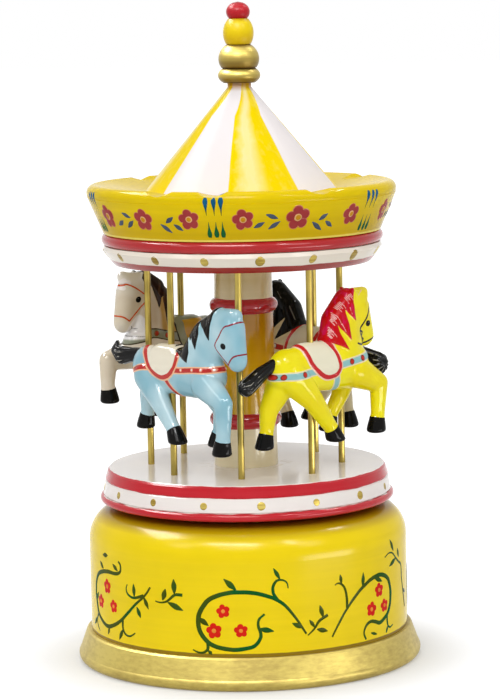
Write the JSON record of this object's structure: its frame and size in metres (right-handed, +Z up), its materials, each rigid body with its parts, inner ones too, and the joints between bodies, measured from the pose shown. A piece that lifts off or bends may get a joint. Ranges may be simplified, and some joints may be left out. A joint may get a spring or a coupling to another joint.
{
  "type": "wind-up music box",
  "caption": "Wooden carousel music box: a drum with a spring-driven movement inside turns a platform of horses on poles under a flared canopy with a cone roof and beads.",
  "frame": {"origin": "centre of the foot's resting face", "axes": "+Z up along the turning axis, -Y towards the viewer's side, +X to the right"},
  "size_m": [0.1, 0.1, 0.19],
  "materials": {
    "gilt_wood": "brushed gilt over wood",
    "yellow_wood": "glossy yellow enamel with painted vines",
    "platform_wood": "white top; red, white and red edge bands with gilt dots",
    "cream_wood": "cream enamel with two red rings and a yellow middle",
    "canopy_wood": "red and white bands with gilt dots",
    "striped_wood": "painted in eight stripes, yellow and white in turn",
    "blue_paint": "pale blue enamel",
    "yellow_paint": "soft yellow enamel",
    "cream_paint": "cream enamel",
    "white_paint": "off-white enamel",
    "black_paint": "black enamel",
    "brown_paint": "dark brown enamel",
    "red_paint": "red enamel",
    "bead_yellow": "glossy yellow enamel",
    "plain_wood": "bare wood",
    "brass_rod": "drawn brass",
    "brass_part": "machined brass",
    "cast_metal": "cast zinc alloy",
    "steel": "turned and ground steel",
    "spring_steel": "blued spring steel"
  },
  "bodies": {
    "base": {"foot_ring": "gilt_wood", "bottom_cover": "plain_wood", "cover_screws": "steel", "drum": "yellow_wood", "bedplate": "cast_metal", "movement_screws": "steel", "spring_housing": "brass_part", "mainspring": "spring_steel", "comb": "steel", "comb_screws": "brass_part", "governor_bracket": "cast_metal", "governor_screw": "steel", "arbor_bush": "brass_part"},
    "carousel": {"winding_arbor": "steel", "drive_wheel": "brass_part", "platform_hub": "brass_part", "hub_screws": "steel", "platform": "platform_wood", "column": "cream_wood", "pole_1": "brass_rod", "pole_2": "brass_rod", "pole_3": "brass_rod", "pole_4": "brass_rod", "pole_5": "brass_rod", "pole_6": "brass_rod", "pole_7": "brass_rod", "pole_8": "brass_rod", "blue_horse": "blue_paint", "yellow_horse": "yellow_paint", "cream_horse": "cream_paint", "white_horse": "white_paint", "blue_horse_tail": "black_paint", "yellow_horse_tail": "black_paint", "cream_horse_tail": "black_paint", "white_horse_tail": "brown_paint", "canopy_disc": "canopy_wood", "crown": "yellow_wood", "roof_cone": "striped_wood", "finial_pin": "plain_wood", "finial_collar": "gilt_wood", "finial_gold_bead": "gilt_wood", "finial_yellow_bead": "bead_yellow", "finial_red_bead": "red_paint"},
    "cylinder": {"pinned_cylinder": "brass_part", "cylinder_arbor": "steel", "cylinder_pinion": "brass_part", "cylinder_gear": "brass_part"},
    "idler": {"idler_arbor": "steel", "idler_pinion": "steel", "worm_wheel": "brass_part"},
    "governor": {"worm_shaft": "steel", "governor_fan": "brass_part"}
  },
  "joints": [
    {"name": "carousel_spin", "type": "hinge", "parent": "base", "child": "carousel", "pos_m": [0, 0, 0.038], "axis": [0, 0, 1], "range_deg": [-1980, 0]},
    {"name": "cylinder_spin", "type": "hinge", "parent": "base", "child": "cylinder", "pos_m": [0.02, 0, 0.02022], "axis": [1, 0, 0], "range_deg": [0, 4950]},
    {"name": "idler_spin", "type": "hinge", "parent": "base", "child": "idler", "pos_m": [0.02951, -0.011, 0.02022], "axis": [1, 0, 0], "range_deg": [-19800, 0]},
    {"name": "governor_spin", "type": "hinge", "parent": "base", "child": "governor", "pos_m": [0.02951, -0.015, 0.02022], "axis": [0, 0, 1], "range_deg": [-396000, 0]}
  ],
  "couplings": [
    {"joint": "cylinder_spin", "follows": "carousel_spin", "ratio": -2.5},
    {"joint": "idler_spin", "follows": "carousel_spin", "ratio": 10},
    {"joint": "governor_spin", "follows": "carousel_spin", "ratio": 200}
  ]
}
